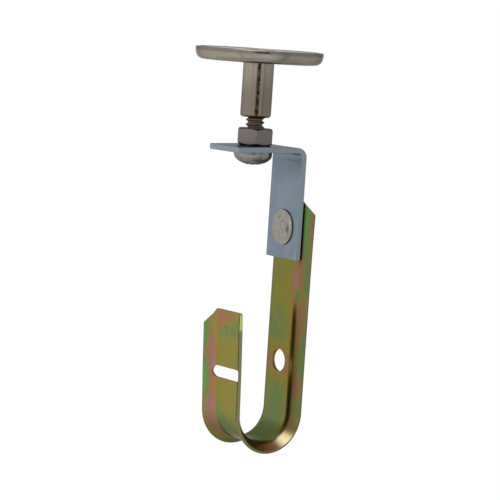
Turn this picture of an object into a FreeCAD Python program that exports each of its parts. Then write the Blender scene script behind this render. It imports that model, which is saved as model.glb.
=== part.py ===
import FreeCAD, Part
import os
import Sketcher

# J hook cable support, held up by a magnet.
# Frame: the origin is the centre of the magnet's face, which takes hold of steel above it.
# +Z is up, out of that face. +X runs from the screw's axis towards the hook's long arm,
# and +Y runs across the hook's width. All sizes are in millimetres and degrees.

SIZES = {
    # Magnet cup: pressed sheet, its open side up
    "cup_radius": 21.35,
    "cup_height": 4.25,
    "cup_sheet": 1.0,
    "cup_draft": 0.5,
    "cup_corner": 2.1,
    # Ring magnet that lies in the cup
    "magnet_edge_gap": 0.3,
    "magnet_bore_gap": 0.8,
    "magnet_recess": 0.15,
    # Round stand-off, swaged through the cup's floor and tapped from below
    "standoff_radius": 5.15,
    "standoff_length": 18.25,
    "standoff_chamfer": 0.6,
    "spigot_radius": 3.8,
    "swage_radius": 4.8,
    "swage_height": 0.9,
    "bore_runout": 2.5,
    "drill_point": 118,
    # Pan head screw and the nut that locks it
    "thread_radius": 3.175,
    "thread_gap": 3.66,
    "screw_length": 19.05,
    "screw_tip": 0.6,
    "head_radius": 6.4,
    "head_height": 4.45,
    "head_rim": 1.9,
    "recess_span": 7.0,
    "recess_width": 1.5,
    "recess_depth": 2.3,
    "nut_flats": 11.11,
    "nut_height": 5.7,
    "nut_bevel": 0.35,
    "nut_slope": 30,
    "nut_turn": 1.5,
    # Angle bracket: one strip of sheet with one bend
    "bracket_sheet": 1.9,
    "bracket_width": 17.85,
    "bracket_reach": 11.55,
    "bend_round": 1.6,
    "screw_hole_gap": 0.25,
    "leg_offset": 13.85,
    "leg_drop": 37.85,
    # Rivet through the bracket's leg and the hook
    "rivet_rise": 10.5,
    "rivet_radius": 2.4,
    "rivet_head_radius": 6.1,
    "rivet_head_height": 0.65,
    "rivet_head_round": 0.3,
    "rivet_tail_radius": 3.9,
    "rivet_tail_height": 1.4,
    "rivet_tail_round": 0.7,
    # Hook: one strip whose two edges flare away from the throat, bent to a J
    "hook_sheet": 1.05,
    "web_corner": 7.2,
    "flare_reach": 3.6,
    "flare_angle": 38,
    "flare_round": 2.6,
    "throat_radius": 9.5,
    "throat_drop": 62.25,
    "hook_rise": 10.1,
    "corner_cut_wide": 4.3,
    "corner_cut_high": 5.3,
    "hole_drop": 45.4,
    "hole_radius": 3.8,
    "short_arm": 34.4,
    "splay": 2.5,
    "slot_rise": 13.2,
    "slot_height": 4.05,
    "slot_reach": 8.2,
}

# Levels and places that follow from the sizes
PLACES = {
    "cup_base": "-size.cup_height",
    "cup_floor": "size.cup_sheet - size.cup_height",
    "cup_foot": "size.cup_radius - size.cup_draft",
    "standoff_end": "-size.cup_height - size.standoff_length",
    "flange_top": "-size.cup_height - size.standoff_length - size.thread_gap - size.nut_height",
    "flange_base": "flange_top - size.bracket_sheet",
    "bore_end": "flange_base + size.screw_length + size.bore_runout",
    "leg_back": "size.leg_offset + size.bracket_sheet",
    "leg_end": "flange_top - size.leg_drop",
    "rivet_level": "leg_end + size.rivet_rise",
    "rivet_grip": "size.bracket_sheet + size.hook_sheet",
    "hook_x": "leg_back - size.throat_radius",
    "hook_z": "rivet_level - size.throat_drop",
    "back_arm": "size.throat_drop + size.hook_rise",
    "u_turn": "180 - size.splay",
    "flare_half": "size.web_corner + size.flare_reach",
}

doc = FreeCAD.newDocument("j_hook_cable_support")


def make_sheet(name, cells, lead=""):
    """A sheet with a name and a value on each row, the value's cell aliased to the name."""
    sheet = doc.addObject("Spreadsheet::Sheet", name)
    for row, (alias, value) in enumerate(cells.items(), start=1):
        sheet.set(f"A{row}", alias)
        sheet.set(f"B{row}", f"{lead}{value}")
        sheet.setAlias(f"B{row}", alias)
    doc.recompute()
    return sheet


make_sheet("size", SIZES)
make_sheet("place", PLACES, lead="=")


def origin_feature(body, role):
    return next(item for item in body.Origin.OriginFeatures if item.Role == role)


def make_body(label, x="0", z="0"):
    """A body whose own origin lies at x and z, two expressions on the sheets."""
    body = doc.addObject("PartDesign::Body", label)
    body.Label = label
    body.setExpression("Placement.Base.x", x)
    body.setExpression("Placement.Base.z", z)
    return body


def make_sketch(body, name, role, axis=None, turn=None, lift=None):
    """A sketch on one of the body's own planes, turned about an axis or lifted off the plane."""
    sketch = body.newObject("Sketcher::SketchObject", f"{body.Label}_{name}")
    sketch.AttachmentSupport = (origin_feature(body, role), [""])
    sketch.MapMode = "FlatFace"
    if turn:
        sketch.AttachmentOffset = FreeCAD.Placement(FreeCAD.Vector(), FreeCAD.Rotation(axis, 1))
        sketch.setExpression("AttachmentOffset.Rotation.Angle", turn)
    if lift:
        sketch.setExpression("AttachmentOffset.Base.z", lift)
    return sketch


def pin(sketch, kind, geometry, point, expression):
    """Holds one coordinate of a point at the value of an expression."""
    value = sketch.evalExpression(expression)
    index = sketch.addConstraint(Sketcher.Constraint(kind, geometry, point, value))
    sketch.setExpression(f"Constraints[{index}]", expression)


def dome_arc(start, end):
    """The arc from start to end whose centre lies on the sketch's upright axis."""
    centre_v = (start.dot(start) - end.dot(end)) / (2 * (start.y - end.y))
    centre = FreeCAD.Vector(0, centre_v, 0)
    radius = (start - centre).Length
    middle = centre + ((start + end) * 0.5 - centre).normalize() * radius
    return Part.Arc(start, middle, end)


def outline(sketch, corners, rounds=None, domes=()):
    """A closed outline through corners, each a pair of expressions.

    rounds gives the radius of a rounded corner by the corner's number. domes lists the
    sides that are arcs about the upright axis, by the number of the corner they start at.
    """
    first = sketch.GeometryCount
    count = len(corners)
    points = [FreeCAD.Vector(*map(sketch.evalExpression, corner), 0) for corner in corners]
    for side in range(count):
        start, end = points[side], points[(side + 1) % count]
        is_dome = side in domes
        sketch.addGeometry(dome_arc(start, end) if is_dome else Part.LineSegment(start, end))
    starts = {}
    for side in range(count):
        # An arc always runs anticlockwise, so its ends may come in the other order
        curve = sketch.Geometry[first + side]
        swapped = (curve.StartPoint - points[side]).Length > (curve.EndPoint - points[side]).Length
        starts[side] = (2, 1) if swapped else (1, 2)
    for side in range(count):
        following = (side + 1) % count
        sketch.addConstraint(Sketcher.Constraint(
            "Coincident", first + side, starts[side][1], first + following, starts[following][0]))
    for side, (u, v) in enumerate(corners):
        pin(sketch, "DistanceX", first + side, starts[side][0], u)
        pin(sketch, "DistanceY", first + side, starts[side][0], v)
    for side in domes:
        pin(sketch, "DistanceX", first + side, 3, "0")
    for side, radius in (rounds or {}).items():
        value = sketch.evalExpression(radius)
        arc = sketch.GeometryCount
        sketch.fillet(first + side, starts[side][0], value, True, True)
        index = sketch.addConstraint(Sketcher.Constraint("Radius", arc, value))
        sketch.setExpression(f"Constraints[{index}]", radius)


def circle(sketch, u, v, radius):
    centre = FreeCAD.Vector(sketch.evalExpression(u), sketch.evalExpression(v), 0)
    value = sketch.evalExpression(radius)
    number = sketch.addGeometry(Part.Circle(centre, FreeCAD.Vector(0, 0, 1), value))
    pin(sketch, "DistanceX", number, 3, u)
    pin(sketch, "DistanceY", number, 3, v)
    index = sketch.addConstraint(Sketcher.Constraint("Radius", number, value))
    sketch.setExpression(f"Constraints[{index}]", radius)


def rectangle(sketch, half_u, half_v, middle_v="0"):
    """A rectangle that is centred across the sketch, its middle at the height middle_v."""
    low, high = f"{middle_v} - {half_v}", f"{middle_v} + {half_v}"
    outline(sketch, [(f"-{half_u}", low), (half_u, low), (half_u, high), (f"-{half_u}", high)])


def revolve(sketch, role="Z_Axis", angle="360", cut=False):
    """Turns a sketch about one of the body's axes, to add or to cut material."""
    body = sketch.getParentGeoFeatureGroup()
    kind = "Groove" if cut else "Revolution"
    feature = body.newObject(f"PartDesign::{kind}", f"{sketch.Name}_turned")
    feature.Profile = sketch
    feature.ReferenceAxis = (origin_feature(body, role), [""])
    feature.setExpression("Angle", angle)
    return finish(feature, cut)


def pad(sketch, length, backwards=False, both_ways=False):
    body = sketch.getParentGeoFeatureGroup()
    feature = body.newObject("PartDesign::Pad", f"{sketch.Name}_pad")
    feature.Profile = sketch
    feature.setExpression("Length", length)
    feature.Reversed = backwards
    feature.SideType = "Symmetric" if both_ways else "One side"
    return finish(feature)


def pocket(sketch, depth=None, backwards=False):
    """Cuts a sketch right through, or to a depth, against the sketch's normal or along it."""
    body = sketch.getParentGeoFeatureGroup()
    feature = body.newObject("PartDesign::Pocket", f"{sketch.Name}_cut")
    feature.Profile = sketch
    feature.Reversed = backwards
    if depth:
        feature.setExpression("Length", depth)
    else:
        feature.Type = "ThroughAll"
    return finish(feature, cut=True)


def finish(feature, cut=False):
    """Recomputes one feature, and stops where it failed or a cut took nothing away."""
    body = feature.getParentGeoFeatureGroup()
    doc.recompute()
    if {"Invalid", "Error"} & set(feature.State) or feature.Shape.isNull():
        raise RuntimeError(f"{feature.Name} failed: {feature.State}")
    if cut and feature.Shape.Volume >= feature.BaseFeature.Shape.Volume - 1e-6:
        raise RuntimeError(f"{feature.Name} cuts nothing")
    body.Tip = feature
    return feature


def magnet_cup():
    """A shallow cup with a wall that leans in towards its floor, and a hole for the spigot."""
    section = make_sketch(make_body("magnet_cup"), "section", "XZ_Plane")
    outline(section, [
        ("size.spigot_radius", "place.cup_base"),
        ("place.cup_foot", "place.cup_base"),
        ("size.cup_radius", "0"),
        ("size.cup_radius - size.cup_sheet", "0"),
        ("place.cup_foot - size.cup_sheet", "place.cup_floor"),
        ("size.spigot_radius", "place.cup_floor"),
    ], rounds={1: "size.cup_corner", 4: "size.cup_corner - size.cup_sheet"})
    revolve(section)


def ring_magnet():
    """A flat ring on the cup's floor, its face just below the cup's lip."""
    section = make_sketch(make_body("ring_magnet"), "section", "XZ_Plane")
    bore = "size.swage_radius + size.magnet_bore_gap"
    rim = "place.cup_foot - size.cup_corner - size.magnet_edge_gap"
    outline(section, [
        (bore, "place.cup_floor"),
        (rim, "place.cup_floor"),
        (rim, "-size.magnet_recess"),
        (bore, "-size.magnet_recess"),
    ])
    revolve(section)


def threaded_standoff():
    """A turned post: its spigot is swaged over the cup's floor, its lower end is tapped."""
    section = make_sketch(make_body("threaded_standoff"), "section", "XZ_Plane")
    swage_top = "place.cup_floor + size.swage_height"
    outline(section, [
        ("0", swage_top),
        ("size.swage_radius", swage_top),
        ("size.swage_radius", "place.cup_floor"),
        ("size.spigot_radius", "place.cup_floor"),
        ("size.spigot_radius", "place.cup_base"),
        ("size.standoff_radius", "place.cup_base"),
        ("size.standoff_radius", "place.standoff_end + size.standoff_chamfer"),
        ("size.standoff_radius - size.standoff_chamfer", "place.standoff_end"),
        ("size.thread_radius", "place.standoff_end"),
        ("size.thread_radius", "place.bore_end"),
        ("0", "place.bore_end + size.thread_radius / tan(size.drill_point / 2)"),
    ])
    revolve(section)


def pan_head_screw():
    """The head is under the bracket's flange, and the shank runs up into the stand-off."""
    body = make_body("pan_head_screw", z="place.flange_base")
    section = make_sketch(body, "section", "XZ_Plane")
    outline(section, [
        ("0", "-size.head_height"),
        ("size.head_radius", "-size.head_rim"),
        ("size.head_radius", "0"),
        ("size.thread_radius", "0"),
        ("size.thread_radius", "size.screw_length - size.screw_tip"),
        ("size.thread_radius - size.screw_tip", "size.screw_length"),
        ("0", "size.screw_length"),
    ], domes=[0])
    revolve(section)
    half_span, half_width = "size.recess_span / 2", "size.recess_width / 2"
    for name, half_u, half_v in (("long", half_span, half_width), ("cross", half_width, half_span)):
        wing = make_sketch(body, f"recess_{name}", "XY_Plane", lift="-size.head_height")
        rectangle(wing, half_u, half_v)
        pocket(wing, depth="size.recess_depth", backwards=True)


def hex_nut():
    """A nut with both ends bevelled, one of its corners turned to the hook's open side."""
    body = make_body("hex_nut", z="place.flange_top")
    body.Placement.Rotation = FreeCAD.Rotation(FreeCAD.Vector(0, 0, 1), 1)
    body.setExpression("Placement.Rotation.Angle", "size.nut_turn")
    plan = make_sketch(body, "plan", "XY_Plane")
    corner_radius = "size.nut_flats / 2 / cos(30)"
    outline(plan, [(f"{corner_radius} * cos({60 * side})", f"{corner_radius} * sin({60 * side})")
                   for side in range(6)])
    pad(plan, "size.nut_height")
    bore = make_sketch(body, "bore", "XY_Plane")
    circle(bore, "0", "0", "size.thread_radius")
    pocket(bore, backwards=True)
    bevel_radius = "(size.nut_flats / 2 - size.nut_bevel)"
    past_corner = "size.nut_flats"
    drop = f"({past_corner} - {bevel_radius}) * tan(size.nut_slope)"
    bevels = {"lower": ("0", drop), "upper": ("size.nut_height", f"size.nut_height - {drop}")}
    for name, (face, edge) in bevels.items():
        bevel = make_sketch(body, f"{name}_bevel", "XZ_Plane")
        outline(bevel, [(bevel_radius, face), (past_corner, face), (past_corner, edge)])
        revolve(bevel, cut=True)


def angle_bracket():
    """The flange lies between screw head and nut, and the leg hangs from its bend."""
    body = make_body("angle_bracket")
    profile = make_sketch(body, "profile", "XZ_Plane")
    outline(profile, [
        ("-size.bracket_reach", "place.flange_top"),
        ("place.leg_back", "place.flange_top"),
        ("place.leg_back", "place.leg_end"),
        ("size.leg_offset", "place.leg_end"),
        ("size.leg_offset", "place.flange_base"),
        ("-size.bracket_reach", "place.flange_base"),
    ], rounds={1: "size.bend_round + size.bracket_sheet", 4: "size.bend_round"})
    pad(profile, "size.bracket_width", both_ways=True)
    screw_hole = make_sketch(body, "screw_hole", "XY_Plane")
    circle(screw_hole, "0", "0", "size.thread_radius + size.screw_hole_gap")
    pocket(screw_hole)
    rivet_hole = make_sketch(body, "rivet_hole", "YZ_Plane")
    circle(rivet_hole, "0", "place.rivet_level", "size.rivet_radius")
    pocket(rivet_hole, backwards=True)


def rivet():
    """A wide flat head on the throat side, and a tail formed behind the hook."""
    body = make_body("rivet", x="size.leg_offset", z="place.rivet_level")
    section = make_sketch(body, "section", "XZ_Plane")
    tail_end = "place.rivet_grip + size.rivet_tail_height"
    outline(section, [
        ("-size.rivet_head_height", "0"),
        ("-size.rivet_head_height", "size.rivet_head_radius"),
        ("0", "size.rivet_head_radius"),
        ("0", "size.rivet_radius"),
        ("place.rivet_grip", "size.rivet_radius"),
        ("place.rivet_grip", "size.rivet_tail_radius"),
        (tail_end, "size.rivet_tail_radius"),
        (tail_end, "0"),
    ], rounds={1: "size.rivet_head_round", 6: "size.rivet_tail_round"})
    revolve(section, role="X_Axis")


def hook_section(body, name, turn=None):
    """The strip's section: a flat web, and two edges that flare away from the throat."""
    sketch = make_sketch(body, name, "XY_Plane", axis=FreeCAD.Vector(0, 1, 0), turn=turn)
    face = "size.throat_radius"
    back = f"{face} + size.hook_sheet"
    tip_x = f"{face} + size.flare_reach * tan(size.flare_angle)"
    tip_back_x = f"{tip_x} + size.hook_sheet * cos(size.flare_angle)"
    tip_back_y = "(place.flare_half - size.hook_sheet * sin(size.flare_angle))"
    back_corner = "(size.web_corner - size.hook_sheet * tan(size.flare_angle / 2))"
    outline(sketch, [
        (face, "-size.web_corner"),
        (face, "size.web_corner"),
        (tip_x, "place.flare_half"),
        (tip_back_x, tip_back_y),
        (back, back_corner),
        (back, f"-{back_corner}"),
        (tip_back_x, f"-{tip_back_y}"),
        (tip_x, "-place.flare_half"),
    ], rounds={0: "size.flare_round", 1: "size.flare_round",
               4: "size.flare_round - size.hook_sheet", 5: "size.flare_round - size.hook_sheet"})
    return sketch


def cut_corners(body, name, top, tilt=None, backwards=False):
    """Cuts both corners off an arm's end, on a plane that leans with that arm."""
    sketch = make_sketch(body, name, "YZ_Plane", axis=FreeCAD.Vector(1, 0, 0), turn=tilt)
    past = 0.2
    low = f"{top} - {1 + past} * size.corner_cut_high"
    high = f"{top} + {past} * size.corner_cut_high"
    near = f"(place.flare_half - {1 + past} * size.corner_cut_wide)"
    far = f"(place.flare_half + {past} * size.corner_cut_wide)"
    for side in ("", "-"):
        outline(sketch, [(side + near, high), (side + far, high), (side + far, low)])
    pocket(sketch, backwards=backwards)


def j_hook():
    """The long arm, the turn and the short arm; the body's origin is the turn's centre."""
    body = make_body("j_hook", x="place.hook_x", z="place.hook_z")
    section = hook_section(body, "section")
    pad(section, "place.back_arm")
    revolve(section, role="Y_Axis", angle="place.u_turn")
    short_section = hook_section(body, "short_section", turn="place.u_turn")
    pad(short_section, "size.short_arm", backwards=True)
    cut_corners(body, "back_corners", "place.back_arm", backwards=True)
    cut_corners(body, "short_corners", "size.short_arm", tilt="-size.splay")
    back_holes = make_sketch(body, "back_holes", "YZ_Plane")
    circle(back_holes, "0", "size.throat_drop", "size.rivet_radius")
    circle(back_holes, "0", "size.throat_drop - size.hole_drop", "size.hole_radius")
    pocket(back_holes, backwards=True)
    lean = FreeCAD.Vector(1, 0, 0)
    slot_end = "(size.slot_reach - size.slot_height / 2)"
    slot = make_sketch(body, "slot", "YZ_Plane", axis=lean, turn="-size.splay")
    rectangle(slot, slot_end, "size.slot_height / 2", middle_v="size.slot_rise")
    pocket(slot)
    slot_ends = make_sketch(body, "slot_ends", "YZ_Plane", axis=lean, turn="-size.splay")
    for side in ("", "-"):
        circle(slot_ends, side + slot_end, "size.slot_rise", "size.slot_height / 2")
    pocket(slot_ends)


def check(document):
    for item in document.Objects:
        if {"Invalid", "Error"} & set(item.State):
            raise RuntimeError(f"{item.Label} is in state {item.State}")


for make_piece in (magnet_cup, ring_magnet, threaded_standoff, pan_head_screw,
                   hex_nut, angle_bracket, rivet, j_hook):
    make_piece()
doc.recompute()
check(doc)

os.makedirs("parts", exist_ok=True)
bodies = [item for item in doc.Objects if item.TypeId == "PartDesign::Body"]
for body in bodies:
    shape = body.Shape
    if shape.isNull() or not shape.isValid() or len(shape.Solids) != 1:
        raise RuntimeError(f"{body.Label} isn't one valid solid")
for body in bodies:
    body.Shape.exportStep(os.path.join("parts", f"{body.Label}.step"))
    box = body.Shape.BoundBox
    print(f"{body.Label}: {body.Shape.Volume:.1f} mm3, z {box.ZMin:.2f} to {box.ZMax:.2f}")
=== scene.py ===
# %% [markdown]
# # A J hook cable support, held up by a magnet
#
# The real thing holds cables under a steel beam. A round magnet cup grips the beam, a
# turned post hangs from it, and a screw and lock nut hold a bent bracket under the post.
# A strip bent to a J is riveted to the bracket, and the cables lie in its turn.
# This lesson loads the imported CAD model, which has every size, and dresses each part.

import bpy
import numpy as np
from mathutils import Matrix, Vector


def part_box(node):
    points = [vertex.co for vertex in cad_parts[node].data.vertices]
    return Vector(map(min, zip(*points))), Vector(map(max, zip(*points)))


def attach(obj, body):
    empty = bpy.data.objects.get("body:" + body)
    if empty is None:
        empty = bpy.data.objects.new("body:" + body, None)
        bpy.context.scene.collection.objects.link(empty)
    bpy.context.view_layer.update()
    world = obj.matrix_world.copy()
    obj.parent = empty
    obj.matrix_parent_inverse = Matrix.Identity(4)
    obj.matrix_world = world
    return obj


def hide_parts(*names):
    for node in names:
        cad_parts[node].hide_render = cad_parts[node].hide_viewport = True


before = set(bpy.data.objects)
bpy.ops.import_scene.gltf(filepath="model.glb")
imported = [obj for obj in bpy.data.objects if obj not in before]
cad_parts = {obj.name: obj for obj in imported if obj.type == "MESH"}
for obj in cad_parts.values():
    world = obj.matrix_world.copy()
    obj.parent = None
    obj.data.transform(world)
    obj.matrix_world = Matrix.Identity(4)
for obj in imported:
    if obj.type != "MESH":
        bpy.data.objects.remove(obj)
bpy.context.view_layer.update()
MM = 0.001
print("nodes", sorted(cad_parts))

# %% [markdown]
# ## The camera
#
# The photograph was taken from the hook's open side, a little above it, with a long lens
# that was not quite level. A long lens far away keeps upright lines nearly parallel, so
# the distance and the lens are given together: one sets the other's frame.

# %% Camera at the photograph's viewpoint
TURN, PITCH, ROLL = np.radians([33.5, 5.6, 3.747])
DISTANCE = 840.0 * MM
AIM = np.array([1.32, 0.0, -67.049]) * MM
PIXELS_PER_MM = 2.988
IMAGE_WIDTH = 500
SENSOR = 36.0

view_axis = np.array([np.sin(TURN) * np.cos(PITCH), np.cos(TURN) * np.cos(PITCH), -np.sin(PITCH)])
level = np.array([np.cos(TURN), -np.sin(TURN), 0.0])
upright = np.cross(level, view_axis)
camera_right = np.cos(ROLL) * level + np.sin(ROLL) * upright
camera_up = np.cos(ROLL) * upright - np.sin(ROLL) * level
camera_place = AIM - view_axis * DISTANCE
scene = bpy.context.scene


def placed(name, data, place, *axes):
    """An object at a place in metres, with its own x, y and z along the three axes."""
    pose = np.eye(4)
    pose[:3, :3] = np.stack(axes, axis=1)
    pose[:3, 3] = place
    made = bpy.data.objects.new(name, data)
    made.matrix_world = Matrix(pose.tolist())
    scene.collection.objects.link(made)
    return made


camera = placed("camera", bpy.data.cameras.new("camera"), camera_place,
                camera_right, camera_up, -view_axis)
scene.camera = camera
camera.data.sensor_width = SENSOR
camera.data.lens = PIXELS_PER_MM / MM * DISTANCE / IMAGE_WIDTH * SENSOR
print("lens", round(camera.data.lens, 1), "mm, camera at", camera_place.round(3))

# %% [markdown]
# ## Shader maths as plain expressions
#
# A finish is a network of small nodes, and drawing it one link at a time hides the idea.
# Here a socket is wrapped in an object whose plus, minus and times add the Math nodes,
# so a finish reads like a formula. Every other node comes from one method.

# %% A socket that can be used in a formula
def operator(operation):
    """What an arithmetic sign does: its plain form, and its form for a number on the left."""
    def plain(signal, other):
        return signal.tree.math(operation, signal, other)

    def reflected(signal, other):
        return signal.tree.math(operation, other, signal)

    return plain, reflected


class Signal:
    """A socket of a node tree. Arithmetic on it adds Math nodes and gives the new socket."""

    def __init__(self, tree, socket):
        self.tree = tree
        self.socket = socket

    __add__, __radd__ = operator("ADD")
    __sub__, __rsub__ = operator("SUBTRACT")
    __mul__, __rmul__ = operator("MULTIPLY")
    __truediv__, __rtruediv__ = operator("DIVIDE")
    __pow__, __rpow__ = operator("POWER")


# %% The node tree that holds the formulas
def pick(sockets, name):
    """The socket with that number, identifier or name."""
    if isinstance(name, int):
        return sockets[name]
    return next(item for item in sockets if name in (item.identifier, item.name))


class Tree:
    """A node tree of a material or a world, emptied and ready to be written."""

    def __init__(self, owner):
        owner.use_nodes = True
        self.nodes = owner.node_tree.nodes
        self.links = owner.node_tree.links
        self.nodes.clear()

    def node(self, kind, settings=None, sockets=None, output=0):
        """Adds a node, first its settings and then its sockets' values or links."""
        made = self.nodes.new(kind)
        for name, value in (settings or {}).items():
            if name == "stops":
                self.set_stops(made.color_ramp.elements, value)
            else:
                setattr(made, name, value)
        for name, value in (sockets or {}).items():
            socket = pick(made.inputs, name)
            if isinstance(value, Signal):
                self.links.new(value.socket, socket)
            else:
                socket.default_value = value
        return Signal(self, pick(made.outputs, output)) if made.outputs else None

    def set_stops(self, stops, colours):
        """Gives a colour ramp a stop at each place that colours has."""
        while len(stops) > 1:
            stops.remove(stops[-1])
        for number, (place, colour) in enumerate(colours.items()):
            stop = stops[0] if number == 0 else stops.new(place)
            stop.position = place
            stop.color = seen(*colour)

    def math(self, operation, first, second=0.0, clamp=False):
        return self.node("ShaderNodeMath", {"operation": operation, "use_clamp": clamp},
                         {0: first, 1: second})

    def least(self, first, second):
        return self.math("MINIMUM", first, second)

    def most(self, first, second):
        return self.math("MAXIMUM", first, second)

    def size(self, value):
        return self.math("ABSOLUTE", value)

    def smooth(self, value, low, high, start=0.0, end=1.0):
        """Goes gently from start at the value low to end at the value high."""
        return self.node("ShaderNodeMapRange", {"interpolation_type": "SMOOTHSTEP"}, {
            "Value": value, "From Min": low, "From Max": high, "To Min": start, "To Max": end})

    def band(self, value, middle, half_width):
        """1 at the middle, and gently down to 0 at half_width either side."""
        return self.smooth(self.size(value - middle), 0.0, half_width, 1.0, 0.0)

    def noise(self, where, scale, detail=2.0, roughness=0.5, warp=0.0):
        return self.node("ShaderNodeTexNoise", {"normalize": True}, {
            "Vector": where, "Scale": scale, "Detail": detail,
            "Roughness": roughness, "Distortion": warp}, "Fac")

    def vector(self, operation, sockets):
        return self.node("ShaderNodeVectorMath", {"operation": operation}, sockets)

    def join(self, x, y, z):
        return self.node("ShaderNodeCombineXYZ", None, {"X": x, "Y": y, "Z": z})

    def parts(self, where):
        """The three numbers of a vector, as three signals."""
        split = self.node("ShaderNodeSeparateXYZ", None, {"Vector": where}).socket.node
        return [Signal(self, item) for item in split.outputs]

    def mix(self, share, first, second):
        """The first colour where share is 0 and the second where it is 1."""
        return self.node("ShaderNodeMix", {"data_type": "RGBA"}, {
            "Factor_Float": share, "A_Color": first, "B_Color": second}, "Result_Color")

    def tint(self, colour, *tints):
        """The colour with others laid over it in turn, each given as its share and itself."""
        for share, over in tints:
            colour = self.mix(share, colour, seen(*over))
        return colour

    def ramp(self, value, colours):
        """The colour that colours has for the value, or a blend of the two beside it."""
        return self.node("ShaderNodeValToRGB", {"stops": colours}, {"Fac": value}, "Color")

    def bump(self, height, depth):
        """Raises and lowers the surface: height 1 stands depth mm above height 0."""
        return self.node("ShaderNodeBump", None, {
            "Height": height, "Distance": depth * MM, "Strength": 1.0})


# %% Colours as they are seen
def seen(red, green, blue):
    """A colour as screens write it, from 0 to 255, turned into the light it stands for."""
    part = np.array([red, green, blue]) / 255
    light = np.where(part <= 0.04045, part / 12.92, ((part + 0.055) / 1.055) ** 2.4)
    return (*light.tolist(), 1.0)


def place_mm(tree):
    """The place in mm and its x, y and z. Each piece's object stays at the origin, so its
    own coordinates are the model's."""
    where = tree.node("ShaderNodeTexCoord", output="Object")
    where = tree.vector("SCALE", {0: where, "Scale": 1 / MM})
    return where, *tree.parts(where)


# %% Finishes
METAL_EDGE = (0.5, 0.5, 0.5, 1.0)


def finish(name, shader):
    """A material. shader writes its tree and gives the shader of the surface."""
    material = bpy.data.materials.new(name)
    tree = Tree(material)
    tree.node("ShaderNodeOutputMaterial", None, {"Surface": shader(tree)})
    print("finish", name, "has", len(tree.nodes), "nodes")
    return material


def metal(name, build, depth, **constants):
    """A metal finish. build writes the tree and gives the colour, the roughness and the
    height of the surface, where height 1 stands depth mm above height 0."""
    def shader(tree):
        colour, roughness, height = build(tree)
        return tree.node("ShaderNodeBsdfPrincipled", None, {
            "Metallic": 1.0, "Specular Tint": METAL_EDGE, **constants,
            "Base Color": colour, "Roughness": roughness, "Normal": tree.bump(height, depth)})
    return finish(name, shader)


# %% [markdown]
# ## The studio
#
# The photograph has a plain white surround, so metal shows white, and its shape is drawn
# by what is dark: the gap where the camera stood, and the object's own parts. The world is
# white where it is looked at and dimmer as a lamp, and one wide soft lamp hangs overhead.
# A round surround that only mirrors see has the studio's light and dark sides.

# %% World
WORLD_LIGHT = 0.5


def looked_at(tree, *kinds):
    """1 for those kinds of rays, such as the camera's, and 0 for all others."""
    path = tree.node("ShaderNodeLightPath").socket.node
    total = 0.0
    for kind in kinds:
        total = tree.math("ADD", Signal(tree, path.outputs[f"Is {kind} Ray"]), total, clamp=True)
    return total


world = bpy.data.worlds.new("studio")
scene.world = world
tree = Tree(world)
dim, white = [tree.node("ShaderNodeBackground", None, {"Color": (1, 1, 1, 1), "Strength": light})
              for light in (WORLD_LIGHT, 1.0)]
is_seen = looked_at(tree, "Camera", "Glossy", "Transmission")
lit = tree.node("ShaderNodeMixShader", None, {0: is_seen, 1: dim, 2: white})
tree.node("ShaderNodeOutputWorld", None, {"Surface": lit})
scene.view_settings.view_transform = "Standard"
print("world light", WORLD_LIGHT)


# %% Grids of points and their faces
def circle(count):
    """Equal steps round a circle, as a row."""
    return np.linspace(0, 2 * np.pi, count, endpoint=False)[None, :]


def revolved(radius, turn, height):
    """Points (r cos t, r sin t, h), row by row; the three are spread over one grid."""
    grid = np.broadcast_arrays(radius * np.cos(turn), radius * np.sin(turn), height)
    return np.stack(grid, -1).reshape(-1, 3)


def grid_faces(rows, columns, round_rows=False, round_columns=False):
    """Four-sided faces between neighbours of a grid whose points are numbered row by row."""
    i = np.arange(rows if round_rows else rows - 1)[:, None]
    j = np.arange(columns if round_columns else columns - 1)[None, :]
    this, following = i * columns, (i + 1) % rows * columns
    next_j = (j + 1) % columns
    return np.stack([this + j, this + next_j, following + next_j, following + j], -1).reshape(-1, 4)


def volume(points, faces):
    """Signed volume of a closed mesh, from the tetrahedra between its faces and the origin."""
    total = 0.0
    for face in faces:
        for k in range(1, face.shape[1] - 1):
            a, b, c = points[face[:, 0]], points[face[:, k]], points[face[:, k + 1]]
            total += np.einsum("ij,ij->i", a, np.cross(b, c)).sum() / 6
    return total


def make_mesh(name, points, faces, closed=True):
    """A mesh object from points in mm and arrays of faces, each array's faces of one size."""
    if closed and volume(points, faces) < 0:
        faces = [face[:, ::-1] for face in faces]
    mesh = bpy.data.meshes.new(name)
    mesh.from_pydata((points * MM).tolist(), [], [row for face in faces for row in face.tolist()])
    mesh.polygons.foreach_set("use_smooth", np.ones(len(mesh.polygons), bool))
    mesh.update()
    piece = bpy.data.objects.new(name, mesh)
    scene.collection.objects.link(piece)
    print(name, len(mesh.vertices), "points", len(mesh.polygons), "faces")
    return piece


# %% Floor far below
FLOOR_LEVEL = -0.9
FLOOR_RADIUS = 6.0
FLOOR_RINGS = 40
FLOOR_GLOW = 0.6
STAGE_COLUMNS = 96


def studio_piece(name, points, faces, material, unseen_by):
    """Part of the studio, its points in metres, that the rays named in unseen_by pass by."""
    piece = make_mesh(name, points / MM, faces, closed=False)
    piece.data.materials.append(material)
    for kind in unseen_by:
        setattr(piece, "visible_" + kind, False)
    return piece


def floor_finish(tree):
    """Pale matt paint, with a little light of its own where it is looked at."""
    grain = tree.noise(place_mm(tree)[0], 0.02, 3.0)
    colour = tree.mix(grain, (0.78, 0.78, 0.78, 1), (0.82, 0.82, 0.82, 1))
    paint = tree.node("ShaderNodeBsdfDiffuse", None, {"Color": colour})
    glow = looked_at(tree, "Camera", "Transmission") * FLOOR_GLOW
    glow = tree.node("ShaderNodeEmission", None, {"Strength": glow})
    return tree.node("ShaderNodeAddShader", None, {0: paint, 1: glow})


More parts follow.
